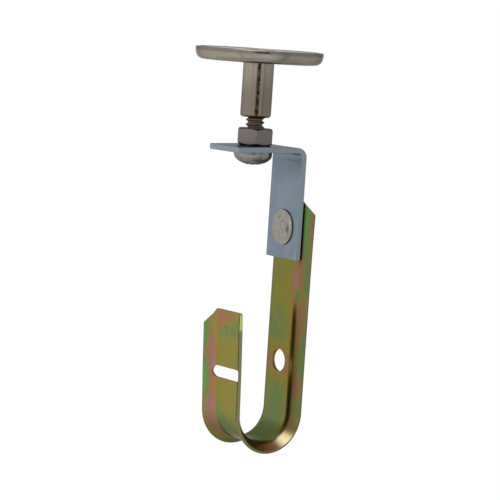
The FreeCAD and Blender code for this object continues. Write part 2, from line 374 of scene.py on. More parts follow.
ring = np.geomspace(0.02, FLOOR_RADIUS, FLOOR_RINGS)[:, None]
floor_faces = grid_faces(FLOOR_RINGS, STAGE_COLUMNS, round_columns=True)
floor = studio_piece("floor", revolved(ring, circle(STAGE_COLUMNS), FLOOR_LEVEL),
                     [floor_faces, np.arange(STAGE_COLUMNS)[None, :]],
                     finish("pale_floor", floor_finish), ["glossy"])


# %% Soft lamp overhead
def soft_lamp(name, direction, distance, width, brightness):
    """A square lamp that faces the object. Its power gives its face that brightness."""
    lamp = bpy.data.lights.new(name, "AREA")
    lamp.shape = "SQUARE"
    lamp.size = width
    lamp.energy = brightness * np.pi * width ** 2
    towards = np.array(direction) / np.linalg.norm(direction)
    side = np.cross([0.0, 1.0, 0.0], towards)
    side /= np.linalg.norm(side)
    place = AIM + towards * distance
    placed(name, lamp, place, side, np.cross(towards, side), towards)
    print(name, "at", place.round(2), "power", round(lamp.energy, 1))


soft_lamp("overhead_lamp", (-0.36, -0.23, 0.91), 1.5, 1.0, 4.0)


# %% The surround that mirrors see
SURROUND_RADIUS = 2.2
GAP_MIDDLE, GAP_TURN, GAP_FOOT, GAP_HEAD = 6.0, 14.0, -6.6, 4.0
RIGHT_SIDE = (43.0, 165.0)
RIGHT_LIGHT, ABOVE_LIGHT, BELOW_LIGHT = 0.71, 0.55, 0.75
STANDS = [(-34.0, 8.0, 0.20), (51.0, 9.0, 0.20)]
GAP_DARKNESS = 0.98
SURROUND_RINGS = 60


def surround_light(tree):
    """A mix of dark and white by direction. Turn is in degrees from the camera, positive to
    its right, and rise in degrees above level. It is white, but dark in the camera's gap,
    dimmer to the camera's right, above and below, and where two narrow stands are."""
    where = tree.node("ShaderNodeTexCoord", output="Object")
    where = tree.vector("SUBTRACT", {0: where, 1: tuple(AIM)})
    x, y, z = tree.parts(tree.vector("NORMALIZE", {0: where}))
    towards = -view_axis / np.hypot(view_axis[0], view_axis[1])
    ahead = x * towards[0] + y * towards[1]
    aside = x * level[0] + y * level[1]
    turn = tree.math("ARCTAN2", aside, ahead) * (180 / np.pi)
    rise = tree.math("ARCSINE", z) * (180 / np.pi)
    start, end = RIGHT_SIDE
    right = tree.smooth(turn, start - 24, start + 3) * tree.smooth(turn, end + 8, end - 8)
    light = 1.0 - right * (1 - RIGHT_LIGHT)
    for middle, half, depth in STANDS:
        light = light - tree.band(turn, middle, half) * depth
    light = light * (1.0 - tree.smooth(rise, 8.0, 32.0) * (1 - ABOVE_LIGHT))
    light = light * (1.0 - tree.smooth(rise, -30.0, -60.0) * (1 - BELOW_LIGHT))
    gap = tree.smooth(tree.size(turn - GAP_MIDDLE), GAP_TURN + 6, GAP_TURN - 5) * tree.smooth(
        rise, GAP_FOOT - 3, GAP_FOOT + 3) * tree.smooth(rise, GAP_HEAD + 3, GAP_HEAD - 3)
    light = light * (1.0 - gap * GAP_DARKNESS)
    dark, white = [tree.node("ShaderNodeEmission", None, {"Strength": strength})
                   for strength in (0.0, 1.0)]
    return tree.node("ShaderNodeMixShader", None, {0: light, 1: dark, 2: white})


polar = np.radians(np.linspace(1, 179, SURROUND_RINGS))[:, None]
sphere = revolved(np.sin(polar), circle(STAGE_COLUMNS), np.cos(polar))
surround = studio_piece("surround", AIM + SURROUND_RADIUS * sphere,
                        [grid_faces(SURROUND_RINGS, STAGE_COLUMNS, round_columns=True)],
                        finish("surround_glow", surround_light),
                        ["camera", "diffuse", "shadow", "transmission"])


# %% [markdown]
# ## Profiles for turned parts
#
# The cup, the magnet, the post, the rivet and the screw are all round. A turned part is a
# profile carried round an axis, as on a lathe. Real corners are never sharp, so each corner
# of the profile is given its own small arc, and a point close to each arc's end keeps the
# flats beside it flat when the surface is shaded smooth.

# %% Rounded profiles
def rounded(corners, rounds, steps=5, hold=0.06):
    """A profile with arcs at its corners. rounds has the arcs' radii by the corners' numbers.

    At a corner P with directions u and v to its neighbours, the arc of radius r starts at
    P + u t and ends at P + v t, where t = r / tan(half the angle between u and v).
    """
    corners = np.asarray(corners, float)
    line = []
    for k, point in enumerate(corners):
        if k not in rounds:
            line.append(point)
            continue
        radius = rounds[k]
        u = corners[k - 1] - point
        v = corners[(k + 1) % len(corners)] - point
        u_length, v_length = np.linalg.norm(u), np.linalg.norm(v)
        u, v = u / u_length, v / v_length
        half = np.arccos(np.clip(u @ v, -1, 1)) / 2
        reach = radius / np.tan(half)
        middle = point + (u + v) / np.linalg.norm(u + v) * radius / np.sin(half)
        start, end = point + u * reach - middle, point + v * reach - middle
        share = np.linspace(0, 1, steps + 1)[:, None]
        sweep = np.pi - 2 * half
        arc = (np.sin((1 - share) * sweep) * start + np.sin(share * sweep) * end) / np.sin(sweep)
        if hold and u_length > reach + 3 * hold:
            line.append(point + u * (reach + hold))
        line.extend(middle + arc)
        if hold and v_length > reach + 3 * hold:
            line.append(point + v * (reach + hold))
    return np.array(line)


def carried_round(name, profile, segments=128, closed=True, axis="Z", centre=(0.0, 0.0, 0.0)):
    """Carries a profile of (radius, height) round an axis: a point is
    (r cos t, r sin t, h). An open profile starts and ends on the axis, at single points."""
    rows = profile if closed else profile[1:-1]
    points = revolved(rows[:, :1], circle(segments), rows[:, 1:])
    faces = [grid_faces(len(rows), segments, round_rows=closed, round_columns=True)]
    if not closed:
        points, faces = capped(points, faces, len(rows), segments,
                               [0, 0, profile[0, 1]], [0, 0, profile[-1, 1]])
    if axis == "X":
        points = np.stack([points[:, 2], points[:, 0], points[:, 1]], -1)
    return make_mesh(name, points + np.array(centre), faces)


def capped(points, faces, rows, columns, first_pole, last_pole):
    """Closes both ends of a grid of rings with a point on the axis and a fan of triangles."""
    j = np.arange(columns)
    next_j = (j + 1) % columns
    first, last = len(points), len(points) + 1
    last_row = (rows - 1) * columns
    start_fan = np.stack([np.full(columns, first), next_j, j], -1)
    end_fan = np.stack([np.full(columns, last), last_row + j, last_row + next_j], -1)
    points = np.vstack([points, [first_pole], [last_pole]])
    return points, [*faces, start_fan, end_fan]


def dress(piece, node, material):
    """The piece stands for its CAD node, rides on the one body and takes its finish."""
    piece.data.materials.append(material)
    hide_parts(node)
    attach(piece, "root")


def box_mm(node):
    """The lowest and highest corners of a CAD node's box."""
    low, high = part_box(node)
    return np.array(low) / MM, np.array(high) / MM


# %% [markdown]
# ## Satin nickel
#
# The cup and the post are plated with nickel over turned or pressed steel. Nickel is a warm
# grey, and the plating copies the small pits and drawn lines of the steel under it. The
# finish is a metal whose roughness and height change with noise that is stretched along the
# work, and whose colour darkens in a few pits.

# %% Nickel on turned and pressed steel
def nickel(pit_share, low_tint, across, upwards):
    """Warm grey plating, with a painted dark reflection in a band just under the lip. low_tint
    says how much darker and browner it grows downwards, and the drawn lines' noise has a
    scale across them and one upwards."""
    def build(tree):
        where, x, y, z = place_mm(tree)
        cloud = tree.smooth(tree.noise(tree.join(x, y, z * 0.5), 0.14, 3.0, 0.5), 0.35, 0.65)
        lines = tree.noise(tree.join(x * across, y * across, z * upwards), 1.0, 3.0, 0.6)
        wave = tree.noise(tree.join(x, y, z * 0.8), 0.7, 2.0, 0.55)
        pits = tree.smooth(tree.noise(where, 1.5, 2.0, 0.5), pit_share, pit_share - 0.07)
        colour = tree.tint(
            seen(147, 144, 131),
            (cloud, (158, 147, 138)),
            (tree.smooth(lines, 0.42, 0.66) * 0.45, (130, 121, 110)),
            (tree.smooth(z, -4.5, -17.0) * low_tint, (124, 112, 100)),
            # Painted reflection: a dark band just under the lip.
            (tree.band(z, -0.7, 0.9) * 0.55, (102, 92, 82)),
            (pits * 0.6, (76, 66, 56)))
        roughness = 0.09 + tree.smooth(wave, 0.3, 0.7) * 0.14 + pits * 0.2
        return colour, roughness, wave - pits * 0.3
    return build


cup_nickel = metal("cup_nickel", nickel(0.24, 0.0, 0.12, 1.6), 0.005)
post_nickel = metal("post_nickel", nickel(0.33, 0.85, 2.0, 0.16), 0.008)

# %% [markdown]
# ## The magnet cup and its ring magnet
#
# The cup is pressed from sheet, open at the top. Its wall leans in ever more towards the
# floor, as a squared-off ellipse does, and the lip is slightly rounded. A grey ferrite ring
# is glued in it, its face just under the lip. Both are closed profiles carried round Z.

# %% Cup
CUP_SHEET = 1.0
CUP_ROUND = 3.05
CUP_SQUARENESS = 2.6
SPIGOT_RADIUS = 3.8

low, high = box_mm("magnet_cup")
cup_radius, cup_base = high[0], low[2]
cup_floor = cup_base + CUP_SHEET


def cup_wall(thickness, steps=26):
    """Round the cup's corner from its floor to its lip: the inward and downward shares of a
    squared-off ellipse are powers of sine and cosine whose n-th powers add up to one."""
    angle = np.linspace(0, np.pi / 2, steps)
    inward = 1 - np.sin(angle) ** (2 / CUP_SQUARENESS)
    downward = np.cos(angle) ** (2 / CUP_SQUARENESS)
    return np.stack([cup_radius - thickness - (CUP_ROUND - thickness) * inward,
                     (cup_base + thickness) * downward], -1)


outside, inside = cup_wall(0.0), cup_wall(CUP_SHEET)[::-1]
lip = {len(outside): 0.3, len(outside) + 1: 0.2}
cup_profile = rounded(np.vstack([
    (SPIGOT_RADIUS, cup_base), outside, inside, (SPIGOT_RADIUS, cup_floor)]), lip, hold=0.0)
magnet_cup = carried_round("cup", cup_profile, segments=256)
dress(magnet_cup, "magnet_cup", cup_nickel)
print("cup radius", round(cup_radius, 2), "height", round(-cup_base, 2))


# %% Ring magnet
def ferrite(tree):
    """Pressed, fired and ground ceramic: dark grey, half gloss, with a fine sandy grain."""
    where = place_mm(tree)[0]
    grain = tree.noise(where, 6.0, 4.0, 0.65)
    cloud = tree.noise(where, 0.25, 2.0)
    colour = tree.tint(seen(60, 59, 60), (grain, (86, 84, 84)), (cloud * 0.4, (66, 62, 60)))
    return colour, 0.16 + cloud * 0.16 + grain * 0.08, grain


MAGNET_BORE = 5.6
low, high = box_mm("ring_magnet")
magnet_profile = rounded([
    (MAGNET_BORE, low[2]), (high[0], low[2]), (high[0], high[2]), (MAGNET_BORE, high[2]),
], {2: 0.45, 3: 0.45}, steps=6)
ring_magnet = carried_round("magnet_ring", magnet_profile, segments=192)
ferrite_grey = metal("ferrite_grey", ferrite, 0.004,
                     **{"Metallic": 0.0, "Specular Tint": (1, 1, 1, 1)})
dress(ring_magnet, "ring_magnet", ferrite_grey)

# %% [markdown]
# ## The post
#
# The post is turned from bar. Its upper end goes through the cup's floor and is spread over
# it like a rivet, and its lower end is bored for the screw. The profile runs from the spread
# end's middle, down the outside, round the chamfer and back up the bore to the drill's point.

# %% Post
POST_CHAMFER = 0.6
SWAGE_RADIUS, SWAGE_DISH = 4.8, 0.45
BORE_RADIUS = 3.175
BORE_END = -12.16
DRILL_POINT = np.radians(118)

low, high = box_mm("threaded_standoff")
post_radius, post_end, swage_top = high[0], low[2], high[2]
drill_end = BORE_END + BORE_RADIUS / np.tan(DRILL_POINT / 2)
post_profile = rounded([
    (0, swage_top - SWAGE_DISH), (2.3, swage_top - SWAGE_DISH), (3.1, swage_top), (4.2, swage_top),
    (SWAGE_RADIUS, swage_top - SWAGE_DISH), (SWAGE_RADIUS, cup_floor), (SPIGOT_RADIUS, cup_floor),
    (SPIGOT_RADIUS, cup_base), (post_radius, cup_base), (post_radius, post_end + POST_CHAMFER),
    (post_radius - POST_CHAMFER, post_end), (BORE_RADIUS + 0.3, post_end),
    (BORE_RADIUS, post_end + 0.3), (BORE_RADIUS, BORE_END), (0, drill_end),
], {1: 0.4, 2: 0.4, 3: 0.4, 4: 0.25, 8: 0.1, 9: 0.15, 10: 0.12})
post = carried_round("post", post_profile, segments=160, closed=False)
dress(post, "threaded_standoff", post_nickel)
print("post radius", round(post_radius, 2), "from", round(swage_top, 2), "to", round(post_end, 2))

# %% [markdown]
# ## The screw
#
# A pan head screw comes up through the bracket. Its shank is one surface whose radius
# depends on both the height and the angle, so the crest climbs round it as a helix. The
# head is a dome, and its cross recess is the same grid pushed up inside four wings.

# %% Screw's thread and recess
THREAD_PITCH = 1.57
CREST_RADIUS = 3.1
ROOT_RADIUS = 2.36
CREST_LEVEL = -25.05
CREST_ANGLE = 146.5
CREST_FLAT, ROOT_FLAT = 0.12, 0.14
THREAD_ROWS = 18
HEAD_HEIGHT = 4.45
HEAD_DOME = 3.6
HEAD_CROWN = 0.3
SCREW_TIP = 0.6
TIP_NARROWER = 0.75
RECESS_HALF_SPAN = 3.2
RECESS_HALF_WIDTH = 0.72
RECESS_DEPTH = 2.2
RECESS_TURN = np.radians(11.5)


def thread_radius(turn, z):
    """Radius of the thread. Counted from a place on the crest, z / pitch - angle / 360 is a
    whole number all along it. Crest and root are flat for their shares of a pitch, and the
    flanks between them are straight."""
    turns = (z - CREST_LEVEL) / THREAD_PITCH - (np.degrees(turn) - CREST_ANGLE) / 360
    from_crest = np.abs((turns + 0.5) % 1.0 - 0.5)
    flank = 0.5 - (CREST_FLAT + ROOT_FLAT) / 2
    height = np.clip((0.5 - ROOT_FLAT / 2 - from_crest) / flank, 0.0, 1.0)
    return ROOT_RADIUS + (CREST_RADIUS - ROOT_RADIUS) * height


def recess(x, y):
    """How far the cross recess is cut at a place on the head: a wing is deep in the middle
    and shallower outwards, and its walls are steep."""
    def wing(along, across):
        side = np.clip((RECESS_HALF_WIDTH - np.abs(across)) / 0.14 + 0.5, 0, 1)
        end = np.clip((RECESS_HALF_SPAN - np.abs(along)) / 0.5, 0, 1)
        slope = 1 - 0.55 * (np.abs(along) / RECESS_HALF_SPAN) ** 1.5
        return side * end * slope
    along = x * np.cos(RECESS_TURN) + y * np.sin(RECESS_TURN)
    across = y * np.cos(RECESS_TURN) - x * np.sin(RECESS_TURN)
    return RECESS_DEPTH * np.maximum(wing(along, across), wing(across, along))


# %% Screw's surface, from the head's middle to the tip
low, high = box_mm("pan_head_screw")
flange_base = low[2] + HEAD_HEIGHT
head_radius, screw_top = high[0], high[2]
head_low = low[2] - HEAD_CROWN
turn = circle(144)

# Rows of the head: even steps over the recess, then even angles out to its edge.
dome_r = np.concatenate([np.linspace(0.12, 3.9, 32),
                         head_radius * np.sin(np.linspace(0.7, 1.54, 14))])[:, None]
dome_z = head_low + HEAD_DOME * (1 - np.sqrt(1 - (dome_r / head_radius) ** 2))
dome_z = dome_z + recess(dome_r * np.cos(turn), dome_r * np.sin(turn))

# The head's side and the face that clamps, in to the shank.
side = rounded([(head_radius - 0.01, dome_z[-1, 0]), (head_radius, head_low + HEAD_DOME),
                (head_radius, flange_base - 0.02), (ROOT_RADIUS, flange_base - 0.02)],
               {2: 0.15})[1:]

shank_z = np.arange(flange_base + 0.05, screw_top - SCREW_TIP,
                    THREAD_PITCH / THREAD_ROWS)[:, None]
tip_z = np.linspace(screw_top - SCREW_TIP, screw_top, 5)[:, None]
tip_limit = np.linspace(CREST_RADIUS, CREST_RADIUS - TIP_NARROWER, 5)[:, None]
tip_r = np.minimum(thread_radius(turn, tip_z), tip_limit)

screw_points = np.vstack([
    revolved(dome_r, turn, dome_z), revolved(side[:, :1], turn, side[:, 1:]),
    revolved(thread_radius(turn, shank_z), turn, shank_z), revolved(tip_r, turn, tip_z)])
screw_rows = len(screw_points) // turn.size
screw_points, screw_faces = capped(
    screw_points, [grid_faces(screw_rows, turn.size, round_columns=True)], screw_rows, turn.size,
    [0, 0, head_low + RECESS_DEPTH], [0, 0, screw_top])
screw = make_mesh("screw", screw_points, screw_faces)


# %% Screw's finish
def screw_finish(tree):
    """Nickel on a rolled thread: stained in places and browner on the thread, with painted
    shade in the thread's roots and low on the head."""
    where, x, y, z = place_mm(tree)
    radius = (x * x + y * y) ** 0.5
    on_thread = tree.smooth(z, flange_base - 0.3, flange_base + 0.3)
    root = tree.smooth(radius, CREST_RADIUS, ROOT_RADIUS + 0.1) * on_thread
    cloud = tree.noise(where, 0.35, 3.0)
    fine = tree.noise(where, 5.0, 3.0, 0.6)
    stain = tree.smooth(tree.noise(tree.join(x, y, z * 2.0), 0.45, 2.0), 0.54, 0.64)
    colour = tree.tint(
        seen(136, 133, 130),
        (cloud, (150, 145, 141)),
        (stain * 0.6, (104, 97, 80)),
        (on_thread * 0.9, (140, 128, 116)),
        # Painted shade: the next two tints darken the head's downward side and the thread's roots.
        (tree.smooth(z, head_low + 1.8, head_low + 0.2) * 0.9, (86, 82, 80)),
        (root * 0.8, (124, 110, 97)))
    return colour, 0.24 + fine * 0.1 + on_thread * 0.25, fine + cloud * 0.4


dress(screw, "pan_head_screw", metal("screw_metal", screw_finish, 0.015))
print("screw from", round(head_low, 2), "to", round(screw_top, 2))

# %% [markdown]
# ## The lock nut
#
# A nut is a hexagon whose ends are turned to a cone, and where the cone cuts the flats it
# leaves their curved edges. Here the radius at each angle and height is the lesser of the
# hexagon's and the cone's, so those curves appear by themselves.

# %% Nut
NUT_FLATS = 11.11
NUT_TOP_BEVEL = 0.25
NUT_FOOT_BEVEL = 0.6
NUT_SLOPE = np.radians(30)
NUT_TURN = 1.5
NUT_BORE = 3.13
NUT_ASIDE = 0.3

low, high = box_mm("hex_nut")
nut_base, nut_top = low[2], high[2]
nut_height = nut_top - nut_base
# In each sixth of the turn the angles gather towards the corners.
share = np.linspace(-1, 1, 24, endpoint=False)
sector = 30 * np.sin(share * np.pi / 2)
nut_turn = np.radians((30 + NUT_TURN + sector)[None, :] + np.arange(6)[:, None] * 60).reshape(1, -1)


def hexagon(turn):
    """Radius of a hexagon with slightly rounded corners: each flat gives its distance over
    the cosine of the angle to it, and a high power sum picks the nearest."""
    flats = np.radians(30 + NUT_TURN + 60 * np.arange(6))[:, None]
    facing = np.clip(np.cos(turn - flats), 0, 1)
    return NUT_FLATS / 2 * (facing ** 70).sum(0) ** (-1 / 70)


def cone(height, bevel):
    """Radius of the end's cone at a height above the face."""
    return NUT_FLATS / 2 - bevel + height / np.tan(NUT_SLOPE)


def end_rows(bevel, softness=0.05):
    """The rows of an end: the lesser of the hexagon's radius and the cone's, taken softly."""
    gap = hexagon(nut_turn) - cone(end_heights[:, None], bevel)
    return hexagon(nut_turn) - softness * np.log1p(np.exp(gap / softness))


end_heights = np.concatenate([[0.0], np.linspace(0.012, 0.86, 28)])
foot_r, top_r = end_rows(NUT_FOOT_BEVEL), end_rows(NUT_TOP_BEVEL)
side_r = np.repeat(hexagon(nut_turn)[None, :], 5, axis=0)
side_z = np.linspace(1.0, nut_height - 1.0, 5)
inner = np.array([(NUT_BORE + 0.35, 0.0), (NUT_BORE + 0.30, 0.02), (NUT_BORE, 0.32)])
face_r = np.array([4.1, 4.5, 4.8])
lower_r = np.repeat(np.concatenate([inner[::-1, 0], face_r])[:, None], nut_turn.size, axis=1)
lower_z = np.concatenate([inner[::-1, 1], np.zeros(3)])
nut_r = np.vstack([lower_r, foot_r, side_r, top_r[::-1], lower_r[::-1]])
nut_z = np.concatenate([lower_z, end_heights, side_z, nut_height - end_heights[::-1],
                        nut_height - lower_z[::-1]])[:, None]
nut_points = revolved(nut_r, nut_turn, nut_base + nut_z) + level * NUT_ASIDE
nut = make_mesh("nut", nut_points, [grid_faces(len(nut_r), nut_turn.size, True, True)])


# %% Nut's finish
def nut_finish(tree):
    """Dull rolled steel with a thin plating, a little brown in its shade."""
    where = place_mm(tree)[0]
    cloud = tree.noise(where, 0.5, 3.0)
    fine = tree.noise(where, 7.0, 3.0, 0.6)
    colour = tree.tint(seen(118, 111, 108), (cloud, (130, 123, 120)))
    return colour, 0.34 + fine * 0.12, fine + cloud


dress(nut, "hex_nut", metal("nut_steel", nut_finish, 0.02))

# %% [markdown]
# ## Sheet metal, cut flat and then bent
#
# The bracket and the hook are strips of sheet. In the workshop the blank is cut and punched
# flat, and bent afterwards, and the same order works here. A grid covers the flat blank,
# with rings of faces round each hole and triangles along each cut corner, and one function
# then bends every point. Solidify gives the sheet its thickness and Bevel its soft edges.

# %% Blank with holes and cut corners
# How many mm of the blank make one unit of its UV map.
MAP_MM = 100.0


def evenly(half, count):
    """Even places from half below zero to half above it."""
    return np.linspace(-half, half, count)


def hole_at(middle, radius, window, reach=0.0):
    """A hole whose middle lies that far along the strip. It is round, or has round ends reach
    either side of its middle. window is half the size of what the grid leaves out for it."""
    return {"middle": middle, "radius": radius, "window": window, "reach": reach}


def window_rings(along, across, hole):
    """The numbers of the points round a hole's window, the rings between the window and the
    hole, and the cells inside. A ring's point is P + (H - P) t, where P is on the window and
    H is the nearest place on the hole's edge."""
    i0, i1 = np.searchsorted(along, hole["middle"] + np.array([-1, 1]) * hole["window"][0] - 1e-6)
    j0, j1 = np.searchsorted(across, np.array([-1, 1]) * hole["window"][1] - 1e-6)
    up, over = np.arange(i0, i1), np.arange(j0, j1)
    i = np.concatenate([np.full(over.size, i0), up, np.full(over.size, i1), up[::-1] + 1])
    j = np.concatenate([over, np.full(up.size, j1), over[::-1] + 1, np.full(up.size, j0)])
    edge = np.stack([along[i], across[j]], -1)
    centre = np.stack([np.full(i.size, hole["middle"]),
                       np.clip(edge[:, 1], -hole["reach"], hole["reach"])], -1)
    away = edge - centre
    rim = centre + away / np.linalg.norm(away, axis=1)[:, None] * hole["radius"]
    steps = np.array([0.25, 0.5, 0.72, 0.88, 1.0])
    rings = edge + (rim - edge) * steps[:, None, None]
    inside = (slice(i0, i1), slice(j0, j1))
    return i * across.size + j, rings, inside


def blank(along, across, holes, left=None):
    """Points (s, y) and faces of a flat strip. along runs down the strip and across over it.
    left says of each point whether it is left when the corners are cut."""
    points = np.stack(np.meshgrid(along, across, indexing="ij"), -1).reshape(-1, 2)
    cells = grid_faces(along.size, across.size)
    windows = [window_rings(along, across, hole) for hole in holes]
    kept = np.ones((along.size - 1, across.size - 1), bool)
    for _, _, inside in windows:
        kept[inside] = False
    kept = kept.reshape(-1)
    within = np.ones(len(points), bool) if left is None else left(points[:, 0], points[:, 1])
    corner_in = within[cells]
    faces = [cells[kept & corner_in.all(1)]]
    for corner in range(4):
        cut = kept & ~corner_in[:, corner] & (corner_in.sum(1) == 3)
        faces.append(np.delete(cells[cut], corner, axis=1))
    for outer, rings, _ in windows:
        for ring in rings:
            inner = len(points) + np.arange(outer.size)
            points = np.vstack([points, ring])
            faces.append(np.stack([outer, np.roll(outer, -1), np.roll(inner, -1), inner], -1))
            outer = inner
    return points, faces


# %% A blank bent and given its thickness
def pruned(points, faces):
    """Leaves out the points that no face uses."""
    used = np.unique(np.concatenate([face.reshape(-1) for face in faces]))
    number = np.full(len(points), -1)
    number[used] = np.arange(used.size)
    return points[used], [number[face] for face in faces if len(face)]


def formed_sheet(name, flat, faces, bend, thickness, soften, pattern):
    """Bends a flat blank, keeps its flat places as a UV map, and gives it its thickness.
    The thickness goes to the side that the faces turn away from."""
    flat, faces = pruned(flat, faces)
    piece = make_mesh(name, bend(flat[:, 0], flat[:, 1]), faces, closed=False)
    mesh = piece.data
    corner = np.zeros(len(mesh.loops), int)
    mesh.loops.foreach_get("vertex_index", corner)
    layer = mesh.uv_layers.new(name="blank")
    layer.data.foreach_set("uv", (pattern(flat) / MAP_MM)[corner].reshape(-1))
    wall = piece.modifiers.new("wall", "SOLIDIFY")
    wall.thickness = thickness * MM
    wall.offset = -1.0
    wall.use_even_offset = True
    wall.use_quality_normals = True
    edge = piece.modifiers.new("soft_edge", "BEVEL")
    edge.width = soften * MM
    edge.segments = 3
    edge.limit_method = "ANGLE"
    edge.angle_limit = np.radians(50)
    edge.harden_normals = True
    return piece


def merged(*lines):
    """Sorted places along a strip, without any that nearly coincide."""
    places = np.unique(np.round(np.concatenate([np.atleast_1d(line) for line in lines]), 4))
    return places[np.concatenate([[True], np.diff(places) > 0.02])]


# %% [markdown]
# ## The bracket
#
# One strip of thicker sheet with a single bend. The flat part is clamped between screw head
# and nut, and the leg carries the hook. It is zinc plated, with the thin blue passivation
# that makes zinc look cold beside nickel.

# %% Bracket
BRACKET_SHEET = 1.9
BEND_INNER = 1.6
FLANGE_DROOP = 0.3
LEG_OFFSET = 13.85
SCREW_HOLE_RADIUS = 3.425
RIVET_RADIUS = 2.4
# Half sizes of the square windows that the grid leaves for the holes.
SCREW_WINDOW, RIVET_WINDOW = 6.0, 4.5

low, high = box_mm("angle_bracket")
half_width = high[1]
flange_start, leg_end = low[0], low[2]
flange_level = high[2] - BRACKET_SHEET
bend_foot = flange_level - BEND_INNER
rivet_level = sum(box_mm("rivet"))[2] / 2
flat_run = LEG_OFFSET - BEND_INNER - flange_start
bend_run = BEND_INNER * np.pi / 2
leg_start = flat_run + bend_run


def bracket_bend(s, y):
    """Along the flange, then a quarter turn of the inner radius, then down the leg."""
    over = np.clip(s - flat_run, 0, bend_run) / BEND_INNER
    x = np.minimum(s, flat_run) + flange_start + BEND_INNER * np.sin(over)
    down = np.maximum(s - leg_start, 0)
    droop = FLANGE_DROOP * np.clip(x / flange_start, 0, 1)
    z = flange_level - BEND_INNER * (1 - np.cos(over)) - down - droop
    return np.stack([x, y, z], -1)


screw_place, rivet_place = -flange_start, leg_start + bend_foot - rivet_level
bracket_along = merged(
    np.linspace(0, flat_run, 22), screw_place + evenly(SCREW_WINDOW, 11),
    flat_run + np.linspace(0, bend_run, 15), leg_start + 0.15,
    np.linspace(leg_start, leg_start + bend_foot - leg_end, 26),
    rivet_place + evenly(RIVET_WINDOW, 9))
bracket_across = merged(evenly(half_width, 13), evenly(SCREW_WINDOW, 9), evenly(RIVET_WINDOW, 7))
flat, faces = blank(bracket_along, bracket_across, [
    hole_at(screw_place, SCREW_HOLE_RADIUS, (SCREW_WINDOW, SCREW_WINDOW)),
    hole_at(rivet_place, RIVET_RADIUS, (RIVET_WINDOW, RIVET_WINDOW))])
bracket = formed_sheet("bracket", flat, faces, bracket_bend, BRACKET_SHEET, 0.22,
                       lambda flat: flat[:, ::-1])


# %% Zinc on the bracket
def zinc(tree):
    """Bright zinc with a pale blue passivation: cool grey and cloudy, with faint lines down
    the strip, paler cut edges, painted shade on the leg under the bend, the marks of the
    bending tool just under the bend, and a painted line of shade in the bend by its near edge."""
    where, x, y, z = place_mm(tree)
    cloud = tree.smooth(tree.noise(where, 0.12, 3.0, 0.5, 0.4), 0.32, 0.68)
    lines = tree.noise(tree.join(x * 1.5, y * 1.5, z * 0.07), 1.0, 3.0, 0.6)
    fine = tree.noise(where, 6.0, 3.0, 0.6)
    smear = tree.noise(tree.join(x, y * 0.5, z * 2.0), 0.9, 2.0)
    # The first line is the bending tool's mark; the second adds a painted line of shade in the bend
    # by the near edge.
    tool_mark_and_bend_shade = tree.band(z + (smear - 0.5) * 0.6, bend_foot - 1.1, 0.5) * tree.band(y, -2.6, 6.2)
    tool_mark_and_bend_shade = tool_mark_and_bend_shade + tree.band(z, bend_foot + 0.9, 0.35) * tree.band(y, -6.0, 3.0)
    cut = tree.most(tree.smooth(tree.size(y), half_width - 0.14, half_width - 0.02),
                    tree.smooth(x, flange_start + 0.14, flange_start + 0.02))
    colour = tree.tint(
        seen(122, 135, 147),
        (cloud, (137, 147, 158)),
        (tree.smooth(lines, 0.4, 0.7) * 0.4, (116, 129, 140)),
        # Painted shade: darker over the top of the leg, under the bend.
        (tree.band(z, bend_foot - 2.5, 7.0) * 0.7, (110, 122, 133)),
        (tool_mark_and_bend_shade * 0.4, (78, 86, 94)),
        (cut * 0.85, (146, 158, 166)))
    return colour, 0.26 + fine * 0.08 + cloud * 0.1 + tool_mark_and_bend_shade * 0.1, fine * 0.4 + lines


dress(bracket, "angle_bracket", metal("zinc_blue", zinc, 0.008))
print("bracket leg ends at", round(leg_end, 2), "rivet at", round(rivet_level, 2))

# %% [markdown]
# ## The rivet
#
# A wide flat head on the throat side, a shank through both sheets, and a tail that was
# pressed into a button behind the hook. It is one open profile carried round X.

# %% Rivet
RIVET_TAIL_RADIUS = 3.9
HOOK_SHEET = 1.05

low, high = box_mm("rivet")
head_front, tail_end = low[0], high[0]
rivet_head_radius = high[1]
hook_back = LEG_OFFSET + BRACKET_SHEET + HOOK_SHEET
rivet_profile = rounded([
    (0, head_front + 0.06), (rivet_head_radius - 1.6, head_front + 0.02),
    (rivet_head_radius, head_front + 0.12), (rivet_head_radius, LEG_OFFSET - 0.01),
    (RIVET_RADIUS, LEG_OFFSET - 0.01), (RIVET_RADIUS, hook_back + 0.01),
    (RIVET_TAIL_RADIUS, hook_back + 0.01), (RIVET_TAIL_RADIUS, tail_end - 0.25),
    (RIVET_TAIL_RADIUS - 1.2, tail_end), (0, tail_end),
], {1: 3.0, 2: 0.25, 7: 0.5, 8: 0.8}, steps=6)
rivet = carried_round("rivet_body", rivet_profile, 128, False, "X", (0.0, 0.0, rivet_level))


# %% Rivet's finish
def rivet_finish(tree):
    """Steel that was struck: mottled, pale beige, with an olive dent, a painted glint near
    its edge, and painted shadow round the side of the head."""
    where, x, y, z = place_mm(tree)
    mottle = tree.noise(where, 0.6, 4.0, 0.55)
    fine = tree.noise(where, 4.5, 3.0, 0.6)
    up = z - rivet_level
    olive = tree.smooth(tree.noise(where, 0.4, 2.0), 0.56, 0.66)
    dent = tree.band(y, -3.7, 1.6) * tree.band(up + (mottle - 0.5), -0.4, 2.4)
    # Painted glint: a small bright spot near the head's edge.
    painted_glint = tree.band(y, -5.0, 0.5) * tree.band(up, 1.8, 1.3)
    # Painted shadow: the side of the head, where it meets the bracket, is darkened.
    side = tree.smooth(x, head_front + 0.12, head_front + 0.3)
    colour = tree.tint(
        seen(144, 143, 137),
        (tree.smooth(mottle, 0.3, 0.7), (166, 163, 155)),
        (olive * 0.5, (128, 130, 106)),
        (dent * 0.9, (92, 94, 70)),
        (painted_glint * 0.8, (216, 214, 196)),
        (side * 0.55, (80, 88, 92)))
    return colour, 0.34 + fine * 0.14, mottle + fine * 0.3


dress(rivet, "rivet", metal("rivet_steel", rivet_finish, 0.02))

